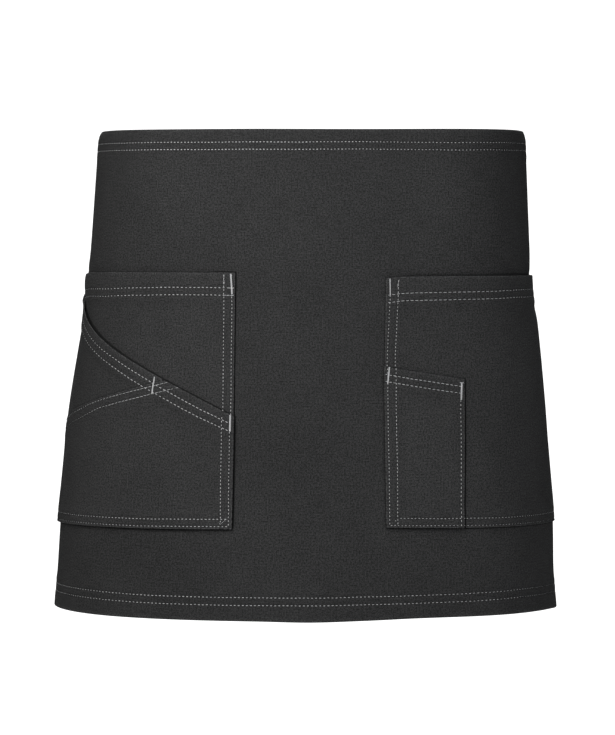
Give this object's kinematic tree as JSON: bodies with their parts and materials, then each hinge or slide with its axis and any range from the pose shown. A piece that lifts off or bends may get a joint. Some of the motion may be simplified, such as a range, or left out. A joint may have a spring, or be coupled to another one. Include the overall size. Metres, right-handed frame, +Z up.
{
  "type": "waist apron",
  "caption": "Worn waist apron of dark twill with twin-stitched hems, a layered patch pocket with a slanting mouth, a patch pocket with a narrow tool pocket, and a strap that closes it behind.",
  "frame": {"origin": "middle of the waist, level with the panel's top edge", "axes": "+Z up along the wearer's body, -Y towards the front, +X to the viewer's right"},
  "size_m": [0.43, 0.2642, 0.404],
  "materials": {
    "twill": "matt charcoal twill with light grey seam thread",
    "webbing": "matt black woven tape",
    "slide": "matt black plastic"
  },
  "bodies": {
    "root": {"apron_panel": "twill", "left_pocket_back": "twill", "left_pocket_front": "twill", "left_pocket_side": "twill", "right_pocket": "twill", "right_tool_pocket": "twill", "strap_left": "webbing", "strap_right": "webbing", "strap_slide": "slide"}
  },
  "joints": []
}
